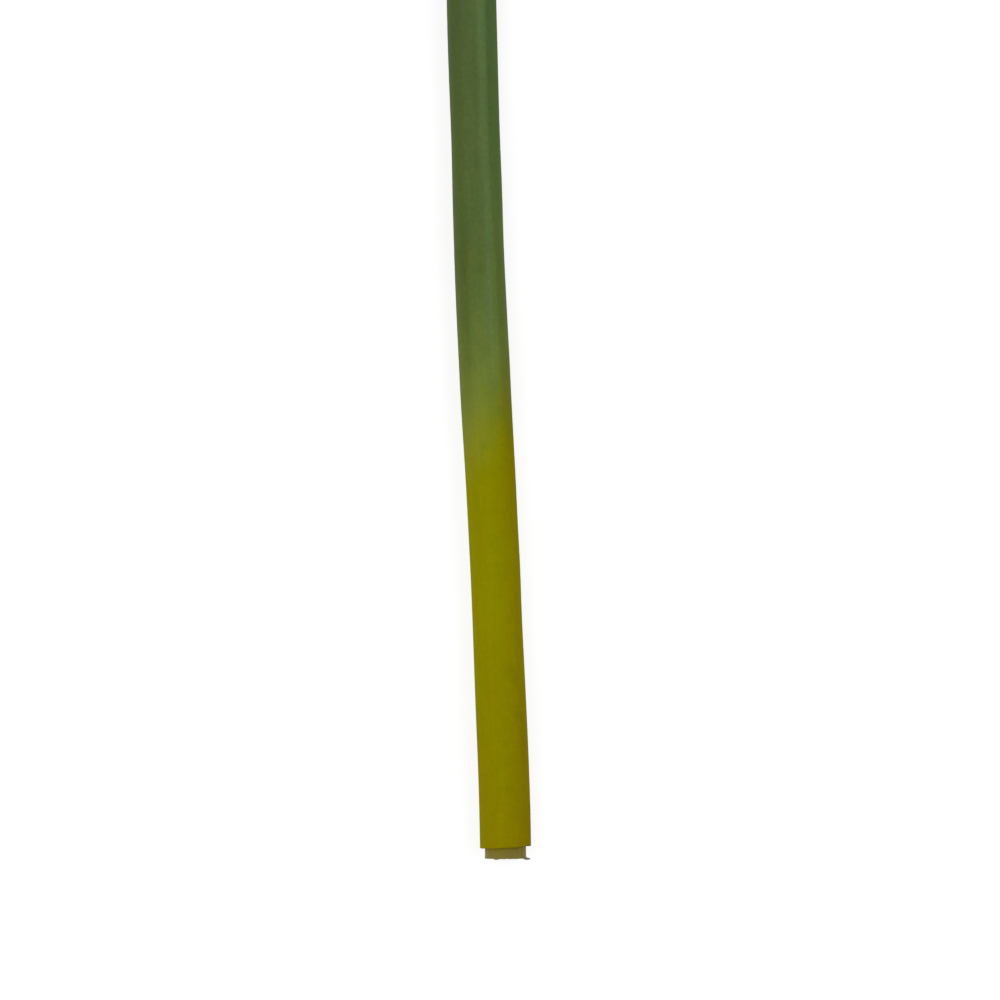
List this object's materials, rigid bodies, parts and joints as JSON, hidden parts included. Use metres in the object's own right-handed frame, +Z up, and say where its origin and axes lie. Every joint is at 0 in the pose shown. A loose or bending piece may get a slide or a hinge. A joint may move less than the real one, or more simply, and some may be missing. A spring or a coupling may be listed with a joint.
{
  "type": "artificial amaryllis stem",
  "caption": "Cut length of an artificial amaryllis stem lying on its side: a hollow core tube in a soft skin, painted green that fades to yellow towards the foot.",
  "frame": {"origin": "middle of the part's box, on the surface that the stem lies on", "axes": "+Y along the stem from its cut foot towards the flower end, +X across it to the right seen from above, +Z up from the surface"},
  "size_m": [0.0314, 0.4048, 0.0176],
  "materials": {
    "painted_skin": "matt soft-touch skin, sprayed dull green over olive yellow",
    "core_plastic": "satin beige-olive plastic with drawn lines"
  },
  "bodies": {
    "root": {"skin": "painted_skin", "core": "core_plastic"}
  },
  "joints": []
}
